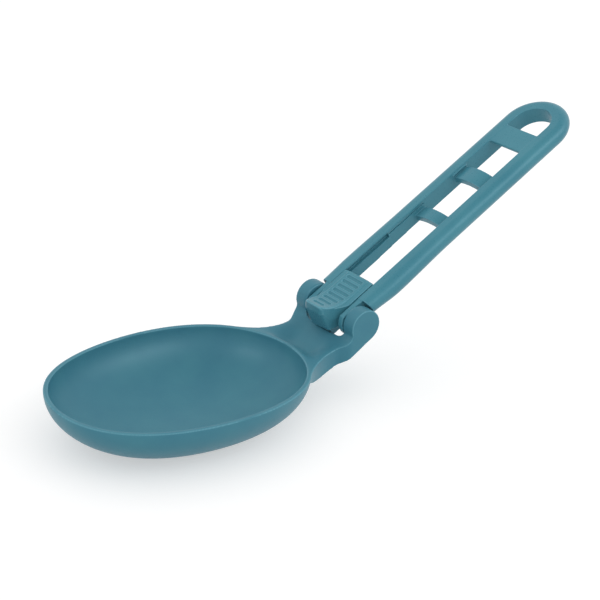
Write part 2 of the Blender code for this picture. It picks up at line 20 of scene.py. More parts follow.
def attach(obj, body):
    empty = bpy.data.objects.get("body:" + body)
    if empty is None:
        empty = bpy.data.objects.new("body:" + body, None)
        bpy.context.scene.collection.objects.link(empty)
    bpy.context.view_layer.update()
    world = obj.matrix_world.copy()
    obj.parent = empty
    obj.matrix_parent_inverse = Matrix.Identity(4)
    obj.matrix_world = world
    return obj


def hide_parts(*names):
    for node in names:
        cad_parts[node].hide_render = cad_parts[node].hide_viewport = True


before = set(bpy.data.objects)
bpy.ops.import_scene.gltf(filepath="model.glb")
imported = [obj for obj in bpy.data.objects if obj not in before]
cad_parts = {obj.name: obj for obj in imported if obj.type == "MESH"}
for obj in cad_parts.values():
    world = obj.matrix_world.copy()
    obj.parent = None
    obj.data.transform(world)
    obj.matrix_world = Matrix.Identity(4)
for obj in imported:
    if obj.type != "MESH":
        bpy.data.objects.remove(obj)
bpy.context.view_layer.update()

logging.basicConfig(level=logging.INFO, format="%(name)s: %(message)s")
log = logging.getLogger("camp_spoon")

Profile = list[tuple[float, float]]
WELD_GAP = 0.000001


# Working in edit and object mode


def deselect_all() -> None:
    """Leave edit mode and deselect every object."""
    if bpy.context.object and bpy.context.object.mode != "OBJECT":
        bpy.ops.object.mode_set(mode="OBJECT")
    bpy.ops.object.select_all(action="DESELECT")


def make_active(piece: bpy.types.Object) -> None:
    """Select one object alone and make it the active one.

    Args:
        piece: The object that the next operators act on.
    """
    deselect_all()
    piece.select_set(True)
    bpy.context.view_layer.objects.active = piece


def newest(name: str) -> bpy.types.Object:
    """Name the primitive that was just added.

    Args:
        name: The object's new name.

    Returns:
        The new object.
    """
    piece = bpy.context.object
    piece.name = name
    piece.data.name = name
    return piece


def edit(piece: bpy.types.Object) -> None:
    """Open a piece in edit mode with nothing selected.

    Args:
        piece: The piece to edit.
    """
    make_active(piece)
    bpy.ops.object.mode_set(mode="EDIT")
    bpy.ops.mesh.select_all(action="DESELECT")


def select_where(piece: bpy.types.Object, mode: str, test: Callable[[Vector], bool]) -> None:
    """Select the vertices or edges of the edited piece by their place.

    Args:
        piece: The piece in edit mode.
        mode: VERT or EDGE.
        test: Whether a vertex, or the middle of an edge, is wanted.
    """
    bpy.ops.mesh.select_mode(type=mode)
    bpy.ops.mesh.select_all(action="DESELECT")
    bpy.ops.object.mode_set(mode="OBJECT")
    mesh = piece.data
    if mode == "VERT":
        for vertex in mesh.vertices:
            vertex.select = test(vertex.co)
    else:
        for edge in mesh.edges:
            first, second = (mesh.vertices[i].co for i in edge.vertices)
            edge.select = test((first + second) / 2)
    bpy.ops.object.mode_set(mode="EDIT")


def shape(piece: bpy.types.Object, place: Callable[[Vector], Vector]) -> None:
    """Move each vertex of a piece to where a rule puts it.

    Args:
        piece: The piece, in object mode.
        place: Gives a vertex's new place from its old one.
    """
    for vertex in piece.data.vertices:
        vertex.co = place(vertex.co)
    piece.data.update()


def apply_modifier(piece: bpy.types.Object, kind: str, **settings: Any) -> None:
    """Add one modifier to a piece and apply it.

    Args:
        piece: The piece to change.
        kind: The modifier's type.
        **settings: The modifier's settings.
    """
    make_active(piece)
    modifier = piece.modifiers.new(kind.lower(), kind)
    for name, value in settings.items():
        setattr(modifier, name, value)
    bpy.ops.object.modifier_apply(modifier=modifier.name)


def combine(body: bpy.types.Object, tool: bpy.types.Object, operation: str) -> None:
    """Join a tool to a body or cut it out, and drop the tool.

    Args:
        body: The piece that is kept.
        tool: The piece that joins it or cuts it.
        operation: UNION or DIFFERENCE.
    """
    apply_modifier(body, "BOOLEAN", operation=operation, solver="EXACT", object=tool)
    bpy.data.objects.remove(tool)


def make_sound(piece: bpy.types.Object) -> None:
    """Merge doubled vertices and point all faces outwards.

    Args:
        piece: The piece to clean.
    """
    edit(piece)
    bpy.ops.mesh.select_all(action="SELECT")
    bpy.ops.mesh.remove_doubles(threshold=WELD_GAP)
    bpy.ops.mesh.normals_make_consistent(inside=False)
    bpy.ops.mesh.quads_convert_to_tris(quad_method="BEAUTY", ngon_method="BEAUTY")
    bpy.ops.object.mode_set(mode="OBJECT")


def boundary_closed(piece: bpy.types.Object) -> None:
    """Close every open end of a piece with a face.

    Args:
        piece: The piece to close.
    """
    edit(piece)
    bpy.ops.mesh.select_all(action="SELECT")
    bpy.ops.mesh.remove_doubles(threshold=WELD_GAP)
    bpy.ops.mesh.fill_holes(sides=0)
    bpy.ops.object.mode_set(mode="OBJECT")
    make_sound(piece)


def box(name: str, low: Sequence[float], high: Sequence[float]) -> bpy.types.Object:
    """Model a block between two corners.

    Args:
        name: The block's name.
        low: Its lowest corner.
        high: Its highest corner.

    Returns:
        The block.
    """
    deselect_all()
    size = [top - bottom for bottom, top in zip(low, high)]
    middle = [(top + bottom) / 2 for bottom, top in zip(low, high)]
    bpy.ops.mesh.primitive_cube_add(size=1)
    block = newest(name)
    shape(block, lambda co: Vector([m + s * c for m, s, c in zip(middle, size, co)]))
    return block


def disc(name: str, radius: float, low_y: float, high_y: float, sides: int) -> bpy.types.Object:
    """Model a round piece about the hinge axis.

    Args:
        name: The piece's name.
        radius: Its radius.
        low_y: Where it starts along the axis.
        high_y: Where it ends.
        sides: How many sides its circle has.

    Returns:
        The round piece.
    """
    deselect_all()
    bpy.ops.mesh.primitive_cylinder_add(vertices=sides, radius=radius, depth=high_y - low_y)
    piece = newest(name)
    turn = Matrix.Rotation(math.pi / 2, 4, "X")
    piece.data.transform(Matrix.Translation((0, (low_y + high_y) / 2, 0)) @ turn)
    return piece


def loft(name: str, rows: Sequence[Sequence[Vector]]) -> bpy.types.Object:
    """Skin a closed tube through rows of points, all with the same number of points.

    A ring is extruded once for each row, and then each row is laid on its points.

    Args:
        name: The piece's name.
        rows: The rows, each running once round the piece.

    Returns:
        The closed piece.
    """
    count = len(rows[0])
    deselect_all()
    bpy.ops.mesh.primitive_circle_add(vertices=count, radius=1, fill_type="NOTHING")
    piece = newest(name)
    edit(piece)
    bpy.ops.mesh.select_all(action="SELECT")
    for _ in rows[1:]:
        bpy.ops.mesh.extrude_region_move(TRANSFORM_OT_translate={"value": (0, 0, 1)})
    bpy.ops.object.mode_set(mode="OBJECT")

    def on_row(co: Vector) -> Vector:
        """Find the point of the rows that one point of the tube stands for.

        Args:
            co: The point on the tube.

        Returns:
            The point in its row.
        """
        around = math.atan2(co.y, co.x) / (2 * math.pi) * count
        return rows[round(co.z)][round(around) % count]

    shape(piece, on_row)
    boundary_closed(piece)
    return piece


def span(side: int, near: float, far: float) -> tuple[float, float]:
    """Give the low and high y of a part between two distances on one side."""
    low, high = sorted((side * near, side * far))
    return low, high


def smooth_step(low: float, high: float, value: float) -> float:
    """Rise from 0 to 1 between two values, level at both."""
    share = min(max((value - low) / (high - low), 0), 1)
    return share * share * (3 - 2 * share)


def cubic(points: Profile, count: int = 240) -> Profile:
    """Give points close together along a cubic curve.

    Args:
        points: The curve's four control points.
        count: How many steps the curve has.

    Returns:
        The points.
    """
    line = []
    for i in range(count + 1):
        share = i / count
        rest = 1 - share
        weights = (rest**3, 3 * rest**2 * share, 3 * rest * share**2, share**3)
        x = sum(weight * point[0] for weight, point in zip(weights, points))
        z = sum(weight * point[1] for weight, point in zip(weights, points))
        line.append((x, z))
    return line


def level_on(line: Profile, x: float) -> float:
    """Read a line's height at one x.

    Args:
        line: Points that run towards -x.
        x: Where to read it.

    Returns:
        The height, level past either end.
    """
    if x >= line[0][0]:
        return line[0][1]
    for (x1, z1), (x2, z2) in zip(line, line[1:]):
        if x2 <= x <= x1:
            return z1 + (z2 - z1) * (x1 - x) / (x1 - x2)
    return line[-1][1]


@dataclass(frozen=True)
class HingePose:
    """Where the hinge axis lies and how the handle stands on it."""

    place: tuple[float, float, float] = (0.0052349, 0.0, 0.02473)
    rise: float = math.radians(30)

    def level(self) -> Matrix:
        """Give the move that takes the head from the hinge axis to its place."""
        return Matrix.Translation(self.place)

    def raised(self) -> Matrix:
        """Give the move that takes the handle and slider to their place."""
        return self.level() @ Matrix.Rotation(-self.rise, 4, "Y")

    def to_level(self, x: float, z: float) -> tuple[float, float]:
        """Turn a place along and square to the handle into the head's level directions.

        Args:
            x: How far along the handle it is.
            z: How far square to the handle it is.

        Returns:
            The level place.
        """
        return (
            x * math.cos(self.rise) - z * math.sin(self.rise),
            x * math.sin(self.rise) + z * math.cos(self.rise),
        )


def edge_highlight_mask(piece: bpy.types.Object, passes: int = 3) -> None:
    """Store how sharply the piece bulges at each vertex, which is where a paler highlight is
    painted.

    The stored attribute is the mean curvature in 1/mm, evened out over the neighbours.

    Args:
        piece: The piece, with its final mesh.
        passes: How often the curvature is evened out.
    """
    mesh = piece.data
    count = len(mesh.vertices)
    places = np.empty(count * 3)
    mesh.vertices.foreach_get("co", places)
    places = places.reshape(-1, 3)
    normals = np.empty(count * 3)
    mesh.vertex_normals.foreach_get("vector", normals)
    normals = normals.reshape(-1, 3)
    ends = np.empty(len(mesh.edges) * 2, int)
    mesh.edges.foreach_get("vertices", ends)
    first, second = ends.reshape(-1, 2).T
    first, second = np.concatenate((first, second)), np.concatenate((second, first))
    steps = (places[second] - places[first]) * 1000
    bends = -2 * (steps * normals[first]).sum(axis=1) / (steps**2).sum(axis=1)
    neighbours = np.bincount(first, minlength=count)
    bulge = np.bincount(first, bends, count) / neighbours
    for _ in range(passes):
        bulge = (bulge + np.bincount(first, bulge[second], count) / neighbours) / 2
    # The mask for the highlight painted paler along sharp edges
    highlight_attribute = mesh.attributes.new("edge_highlight_mask", "FLOAT", "POINT")
    highlight_attribute.data.foreach_set("value", bulge)


@dataclass(frozen=True)
class MouldingFinish:
    """How a moulding's edges are softened, as the polished corners of a steel mould do."""

    voxel: float
    passes: int
    triangles: int = 185000
    strength: float = 0.5
    normal_weight: int = 60

    def soften(self, piece: bpy.types.Object) -> None:
        """Turn a piece's solids into one skin with small fillets and round edges.

        Args:
            piece: The piece, still with sharp edges.
        """
        make_sound(piece)
        apply_modifier(piece, "REMESH", mode="VOXEL", voxel_size=self.voxel, adaptivity=0.0)
        apply_modifier(piece, "SMOOTH", factor=self.strength, iterations=self.passes)
        share = self.triangles / (2 * len(piece.data.polygons))
        if share < 1:
            apply_modifier(piece, "DECIMATE", decimate_type="COLLAPSE", ratio=share)
        make_active(piece)
        bpy.ops.object.shade_smooth()
        apply_modifier(piece, "WEIGHTED_NORMAL", mode="FACE_AREA", weight=self.normal_weight)
        # Keep the curvature, which places the painted edge highlight
        edge_highlight_mask(piece)


@dataclass
class Bowl:
    """The egg-shaped bowl, whose narrow end is the tip. Its rim is level."""

    half_length: float = 0.0417
    half_width: float = 0.0316
    reach: float = 0.0616
    depth: float = 0.0170
    wall: float = 0.0023
    rim_width: float = 0.0015
    rim_drop: float = 0.00773
    swell_shares: tuple[float, float, float] = (-0.046, 0.110, 0.022)
    flat_share: float = 0.16
    wall_power: float = 0.77
    lid: float = 0.002
    ball_weld: float = 0.0001
    sides: int = 192
    profile_steps: int = 44

    @property
    def rim_start(self) -> float:
        """How far ahead of the hinge axis the bowl's inside starts."""
        return self.reach - self.half_length

    def outline(self, angle: float, grow: float) -> tuple[float, float]:
        """Give a point of the plan outline about the bowl's middle.

        Args:
            angle: The direction; 0 is the tip.
            grow: How far the outline stands outside the bowl's inner edge.

        Returns:
            The point's x and y.
        """
        along = math.cos(angle)
        shares = enumerate(self.swell_shares, start=1)
        swell = 1 + sum(share * along**power for power, share in shares)
        return (
            -(self.half_length + grow) * along,
            (self.half_width + grow) * math.sin(angle) * swell,
        )

    def half_width_at(self, x: float, grow: float) -> float:
        """Read the outline's half width at one x from the hinge axis."""
        angle = math.acos((-self.reach - x) / (self.half_length + grow))
        return self.outline(angle, grow)[1]

    def dome(self, name: str, grow: float, depth: float, lid: float) -> bpy.types.Object:
        """Model the solid below one of the bowl's surfaces, by spinning a quarter circle.

        Args:
            name: The solid's name.
            grow: How far it stands outside the bowl's inner edge.
            depth: How deep it is below the rim.
            lid: How far it rises above the rim.

        Returns:
            The closed solid.
        """
        deselect_all()
        count = 4 * self.profile_steps
        bpy.ops.mesh.primitive_circle_add(vertices=count, radius=1, fill_type="NOTHING")
        dome = newest(name)
        dome.data.transform(Matrix.Rotation(math.pi / 2, 4, "X"))
        step = math.pi / 2 / self.profile_steps
        edit(dome)
        least = math.sin(step / 2)
        select_where(dome, "VERT", lambda co: co.x < least or co.z > least)
        bpy.ops.mesh.delete(type="VERT")
        bpy.ops.mesh.select_all(action="SELECT")
        bpy.ops.mesh.spin(
            steps=self.sides, angle=2 * math.pi, center=(0, 0, 0), axis=(0, 0, 1), dupli=False
        )
        bpy.ops.mesh.select_all(action="SELECT")
        bpy.ops.mesh.remove_doubles(threshold=self.ball_weld)
        bpy.ops.object.mode_set(mode="OBJECT")
        last_turn = math.pi / 2 - step

        def onto_egg(co: Vector) -> Vector:
            """Move one point of the half ball to its place on the bowl.

            Args:
                co: The point on the half ball.

            Returns:
                The point on the bowl.
            """
            turn = math.asin(min(max(-co.z, 0), 1)) / last_turn * math.pi / 2
            around = math.atan2(co.y, -co.x)
            size = max(math.cos(turn), 0) ** self.wall_power
            size = self.flat_share + (1 - self.flat_share) * size
            x, y = self.outline(around, grow)
            z = -self.rim_drop - depth * math.sin(turn)
            return Vector((x * size - self.reach, y * size, z))

        shape(dome, onto_egg)
        if lid:
            edge = -self.rim_drop - lid / 1000
            edit(dome)
            select_where(dome, "VERT", lambda co: co.z > edge)
            bpy.ops.mesh.extrude_region_move(TRANSFORM_OT_translate={"value": (0, 0, lid)})
            bpy.ops.object.mode_set(mode="OBJECT")
        boundary_closed(dome)
        return dome


@dataclass
class Ears:
    """The two round ears and the pocket, bosses and stub axles between them."""

    radius: float = 0.0056
    half_spread: float = 0.0150
    thickness: float = 0.0045
    boss_radius: float = 0.0055
    boss_height: float = 0.0007
    boss_round: float = 0.0004
    axle_radius: float = 0.0020
    axle_gap: float = 0.00015
    pocket_corner: float = 0.0031
    pocket_over: float = 0.002
    corner_steps: int = 8
    boss_steps: int = 4
    sides: int = 96

    @property
    def inner(self) -> float:
        """Give the distance from the middle to an ear's inner wall."""
        return self.half_spread - self.thickness

    def pocket(self, seat_reach: float, turn: Matrix) -> bpy.types.Object:
        """Model the open space that the tongues and the slider's nose move in.

        Args:
            seat_reach: How far ahead of the hinge axis the pocket's front wall is.
            turn: The handle's rise, which the pocket's walls are square to.

        Returns:
            The pocket as a solid.
        """
        reach = self.radius + self.pocket_over
        depth = reach + self.pocket_over
        pocket = box("pocket", (-seat_reach, -self.inner, -depth), (reach, self.inner, depth))
        edit(pocket)
        middle = seat_reach / 2
        select_where(pocket, "EDGE", lambda co: co.x < -middle and abs(co.z) < middle)
        bpy.ops.mesh.bevel(offset=self.pocket_corner, segments=self.corner_steps, affect="EDGES")
        bpy.ops.object.mode_set(mode="OBJECT")
        pocket.data.transform(turn)
        make_sound(pocket)
        return pocket

    def add_pivots(self, head: bpy.types.Object, slot_half_width: float) -> None:
        """Grow a boss and a stub axle on the inner side of each ear.

        Args:
            head: The head so far.
            slot_half_width: Half the space between the handle's rails.
        """
        boss_face = self.inner - self.boss_height
        for side in (-1, 1):
            low, high = span(side, boss_face, self.inner + self.thickness / 2)
            boss = disc("boss", self.boss_radius, low, high, self.sides)
            edit(boss)
            edge = side * boss_face
            select_where(boss, "VERT", lambda co: abs(co.y - edge) < self.boss_height / 2)
            bpy.ops.mesh.select_mode(type="EDGE")
            bpy.ops.mesh.bevel(offset=self.boss_round, segments=self.boss_steps, affect="EDGES")
            bpy.ops.object.mode_set(mode="OBJECT")
            make_sound(boss)
            combine(head, boss, "UNION")
            low, high = span(side, slot_half_width + self.axle_gap, self.inner + self.boss_height)
            combine(head, disc("axle", self.axle_radius, low, high, self.sides), "UNION")


@dataclass
class Neck:
    """The flared neck: its top edge, trough and underside are cubic curves."""

    waist_half_width: float = 0.0128
    waist_reach: float = 0.0102
    shoulder_reach: float = 0.0052
    flare_lap: float = 0.0083
    flare_edge: float = 0.0009
    seat_reach: float = 0.0071
    seat_drop: float = 0.00138
    seat_chamfer: float = 0.0005
    seat_half_width: float = 0.0056
    front_reach: float = 0.00515
    front_drop: float = 0.0016
    root_drop: float = 0.0049
    belly: float = 0.0006
    trough_share: float = 0.32
    trough_rim_share: float = 0.95
    column_power: float = 1.6
    top_drop_shares: tuple[float, float] = (0.80, 0.905)
    top_run_share: float = 0.25
    trough_reach_shares: tuple[float, float] = (0.73, 0.76)
    trough_depth_share: float = 0.24
    under_reach_shares: tuple[float, float] = (0.77, 0.65)
    under_drop_shares: tuple[float, float] = (1.54, 2.54)
    inset: float = 0.00005
    slope_run: float = 0.0003
    root_share: float = 0.25
    columns: int = 90
    across_steps: int = 56

    def flare_reach(self, bowl: Bowl) -> float:
        """Give how far ahead of the hinge axis the flare ends."""
        return bowl.rim_start + self.flare_lap

    def half_width(self, x: float, bowl: Bowl, ears: Ears) -> float:
        """Give the neck's half width: the ears, a waist, then the flare into the bowl.

        Args:
            x: Where along the neck, from the hinge axis.
            bowl: The bowl that the flare runs into.
            ears: The ears that the neck starts from.

        Returns:
            The half width.
        """
        if x > -self.waist_reach:
            share = smooth_step(-self.waist_reach, -self.shoulder_reach, x)
            return self.waist_half_width + (ears.half_spread - self.waist_half_width) * share
        reach = self.flare_reach(bowl)
        run = reach - self.waist_reach
        share = min((-self.waist_reach - x) / run, 1)
        end = bowl.half_width_at(-reach, bowl.rim_width) - self.inset
        beyond = bowl.half_width_at(-reach - self.slope_run, bowl.rim_width)
        slope = (beyond - end) / self.slope_run
        start_weight = 1 - 3 * share**2 + 2 * share**3
        end_pull = (share**3 - share**2) * run * slope
        return self.waist_half_width * start_weight + end * (1 - start_weight) + end_pull

    def curves(self, bowl: Bowl, ears: Ears, pose: HingePose) -> tuple[Profile, Profile, Profile]:
        """Give the side curves of the neck's top edge, its trough and its underside.

        Args:
            bowl: The bowl that the curves end at.
            ears: The ears that they start from.
            pose: The handle's rise, which the seat under the slider is level with.

        Returns:
            The three curves as lines of points.
        """
        reach = self.flare_reach(bowl)
        run = reach - self.front_reach
        rim = (-bowl.rim_start, -bowl.rim_drop)
        first_drop, second_drop = (bowl.rim_drop * share for share in self.top_drop_shares)
        top = [
            (-self.front_reach, -self.front_drop),
            (-self.front_reach, -first_drop),
            (-self.front_reach - run * self.top_run_share, -second_drop),
            rim,
        ]
        deep = -bowl.rim_drop - bowl.depth * self.trough_depth_share
        trough = [
            pose.to_level(-self.seat_reach, -self.seat_drop),
            pose.to_level(-bowl.rim_start * self.trough_reach_shares[0], -self.seat_drop),
            (-bowl.rim_start * self.trough_reach_shares[1], deep),
            rim,
        ]
        root = math.sqrt(ears.radius**2 - self.root_drop**2)
        near, far = zip(self.under_reach_shares, self.under_drop_shares)
        under = [
            (root, -self.root_drop),
            (-self.waist_reach * near[0], -bowl.rim_drop * near[1]),
            (-reach * far[0], -bowl.rim_drop * far[1]),
            (-reach, -bowl.rim_drop - self.flare_edge),
        ]
        return cubic(top), cubic(trough), cubic(under)

    def block(self, bowl: Bowl, ears: Ears, pose: HingePose) -> bpy.types.Object:
        """Model the neck and both ears as one block, a side outline carried across its width.

        Args:
            bowl: The bowl that the neck flares into.
            ears: The ears at its other end.
            pose: The handle's rise.

        Returns:
            The closed block.
        """
        top, trough, under = self.curves(bowl, ears, pose)
        reach = self.flare_reach(bowl)
        root = under[0][0]
        seat = trough[0]
        deselect_all()
        bpy.ops.mesh.primitive_grid_add(
            x_subdivisions=self.columns, y_subdivisions=self.across_steps, size=2
        )
        block = newest("neck_block")

        def column(share: float) -> float:
            """Give the x of one column of the grid, the columns being closer at the root.

            Args:
                share: The column's share of the way from the root to the bowl.

            Returns:
                Its x.
            """
            if share < self.root_share:
                return root - (root + self.front_reach) * share / self.root_share
            share = (share - self.root_share) / (1 - self.root_share)
            return -self.front_reach - (reach - self.front_reach) * share**self.column_power

        def on_top(co: Vector) -> Vector:
            """Move one point of the grid to its place on the neck's top.

            Args:
                co: The point on the grid.

            Returns:
                The point on the top.
            """
            x = column((1 - co.x) / 2)
            side = level_on(top, x)
            middle = min(level_on(trough, x), side) if x < seat[0] else seat[1]
            if x < -bowl.rim_start:
                side = middle = -bowl.rim_drop
            lift = smooth_step(self.trough_share, self.trough_rim_share, abs(co.y))
            y = (self.half_width(x, bowl, ears) - self.inset) * co.y
            return Vector((x, y, middle + (side - middle) * lift))

        shape(block, on_top)
        edit(block)
        bpy.ops.mesh.select_all(action="SELECT")
        bpy.ops.mesh.extrude_region_move(TRANSFORM_OT_translate={"value": (0, 0, -1)})
        bpy.ops.object.mode_set(mode="OBJECT")

        def on_underside(co: Vector) -> Vector:
            """Move one point of the lower sheet to its place on the neck's underside.

            Args:
                co: The point, still below the top's one.

            Returns:
                The point on the underside.
            """
            if co.z > -1 / 2:
                return co
            across = co.y / self.half_width(co.x, bowl, ears)
            belly = self.belly * smooth_step(self.front_reach, reach, -co.x)
            return Vector((co.x, co.y, level_on(under, co.x) - belly * (1 - across**2)))

        shape(block, on_underside)
        make_sound(block)
        return block

    def seat_cutter(self, gap: float, turn: Matrix) -> bpy.types.Object:
        """Model the small chamfer cut along the seat's rear edge, which the lip hooks over.

        Args:
            gap: How far the cutter stands out of the neck.
            turn: The handle's rise.

        Returns:
            The cutter.
        """
        reach, drop, corner = self.seat_reach, self.seat_drop, self.seat_chamfer
        outline = [
            (-reach - corner - gap, -drop + gap),
            (-reach + gap, -drop + gap),
            (-reach + gap, -drop - corner - gap),
        ]
        width = self.seat_half_width
        rows = [[Vector((x, y, z)) for x, z in outline] for y in (-width, width)]
        cutter = loft("seat_chamfer", rows)
        cutter.data.transform(turn)
        return cutter


@dataclass
class SpoonHead:
    """Bowl, neck and ears, moulded in one piece."""

    pose: HingePose
    slot_half_width: float = 0.0072
    gap: float = 0.0003
    bowl: Bowl = field(default_factory=Bowl)
    ears: Ears = field(default_factory=Ears)
    neck: Neck = field(default_factory=Neck)
    edges: MouldingFinish = field(default_factory=lambda: MouldingFinish(0.00022, 9))

    def build(self) -> bpy.types.Object:
        """Model the head and set it at the hinge axis.

        Returns:
            The finished head.
        """
        bowl, ears, neck = self.bowl, self.ears, self.neck
        turn = Matrix.Rotation(-self.pose.rise, 4, "Y")
        head = bowl.dome("head_moulding", bowl.rim_width, bowl.depth, 0)
        combine(head, neck.block(bowl, ears, self.pose), "UNION")
        ear = disc("ear", ears.radius, -ears.half_spread, ears.half_spread, 2 * ears.sides)
        combine(head, ear, "UNION")
        combine(head, bowl.dome("cavity", 0, bowl.depth - bowl.wall, bowl.lid), "DIFFERENCE")
        combine(head, ears.pocket(neck.seat_reach, turn), "DIFFERENCE")
        combine(head, neck.seat_cutter(self.gap, turn), "DIFFERENCE")
        ears.add_pivots(head, self.slot_half_width)
        self.edges.soften(head)
        head.data.transform(self.pose.level())
        return head


@dataclass
class Rails:
    """The two rails and the round loop that joins them behind the hanging hole."""

    top: float = 0.00456
    height: float = 0.0063
    flat: float = 0.0024
    slot_half_width: float = 0.0072
    loop_reach: float = 0.0965
    front_reach: float = 0.0053
    front_slant: float = 0.0010
    front_share: float = 0.96
    swell_share: float = 1.075
    swell_reach: float = 0.0175
    swell_end: float = 0.0420
    swell_steps: int = 14
    tongue_thickness: float = 0.0020
    tongue_root: float = 0.0090
    knuckle_drop: float = 0.0002
    knuckle_swell: float = 0.00104
    knuckle_stop: float = math.radians(300)
    inset: float = 0.00005
    round_steps: int = 28
    loop_steps: int = 90
    tongue_steps: int = 48

    def section(self) -> Profile:
        """Give the rail's cross section from its inner top corner to its inner bottom one.

        Returns:
            The section's points.
        """
        radius = self.height / 2
        points = [(self.slot_half_width, self.top)]
        for i in range(self.round_steps + 1):
            angle = math.pi / 2 - math.pi * i / self.round_steps
            y = self.slot_half_width + self.flat + radius * math.cos(angle)
            points.append((y, self.top - radius + radius * math.sin(angle)))
        points.append((self.slot_half_width, self.top - self.height))
        return points

    def swell(self, reach: float) -> float:
        """Give how wide and deep a rail is at one place, next to its size near the loop.

        Args:
            reach: How far behind the hinge axis the place is.

        Returns:
            The share of the size near the loop.
        """
        if reach < self.swell_reach:
            grown = smooth_step(self.front_reach, self.swell_reach, reach)
            return self.front_share + (self.swell_share - self.front_share) * grown
        fading = smooth_step(self.swell_end, self.swell_reach, reach)
        return 1 + (self.swell_share - 1) * fading

    def rail_rows(self, side: int) -> list[list[Vector]]:
        """Give the rows of points round one rail, from its slanted front end backwards.

        Args:
            side: -1 or 1.

        Returns:
            The rows.
        """
        reaches = []
        for start, stop in (
            (self.front_reach, self.swell_reach),
            (self.swell_reach, self.swell_end),
        ):
            for i in range(self.swell_steps):
                reaches.append(start + (stop - start) * i / self.swell_steps)
        rows = []
        for reach in reaches + [self.swell_end]:
            slant = self.front_slant if reach == self.front_reach else 0
            row = []
            for y, z in self.section():
                aside = (y - self.slot_half_width) * self.swell(reach)
                below = (self.top - z) * self.swell(reach)
                x = reach + slant * (self.top - z) / self.height
                row.append(Vector((x, side * (self.slot_half_width + aside), self.top - below)))
            rows.append(row)
        return rows

    def sweep(self) -> bpy.types.Object:
        """Model both rails and the loop as one bar, carried round the loop's centre.

        Returns:
            The closed bar.
        """
        rows = self.rail_rows(-1)
        for i in range(self.loop_steps + 1):
            angle = -math.pi / 2 + math.pi * i / self.loop_steps
            row = []
            for y, z in self.section():
                x = self.loop_reach + y * math.cos(angle)
                row.append(Vector((x, y * math.sin(angle), z)))
            rows.append(row)
        rows += reversed(self.rail_rows(1))
        return loft("handle_moulding", rows)

    def tongue(self, side: int) -> bpy.types.Object:
        """Model the knuckle round the hinge axis, flat on top, that carries one rail.

        Args:
            side: -1 or 1.

        Returns:
            The tongue.
        """
        top = self.top - self.knuckle_drop
        radius = top + self.knuckle_swell
        start = math.pi - math.asin(top / radius)
        outline = []
        for i in range(self.tongue_steps + 1):
            angle = start + (self.knuckle_stop - start) * i / self.tongue_steps
            outline.append((radius * math.cos(angle), radius * math.sin(angle)))
        low = self.top - self.height * self.front_share + self.inset
        outline += [(self.tongue_root, low), (self.tongue_root, top)]
        inner = self.slot_half_width
        ends = span(side, inner, inner + self.tongue_thickness)
        return loft("tongue", [[Vector((x, y, z)) for x, z in outline] for y in ends])


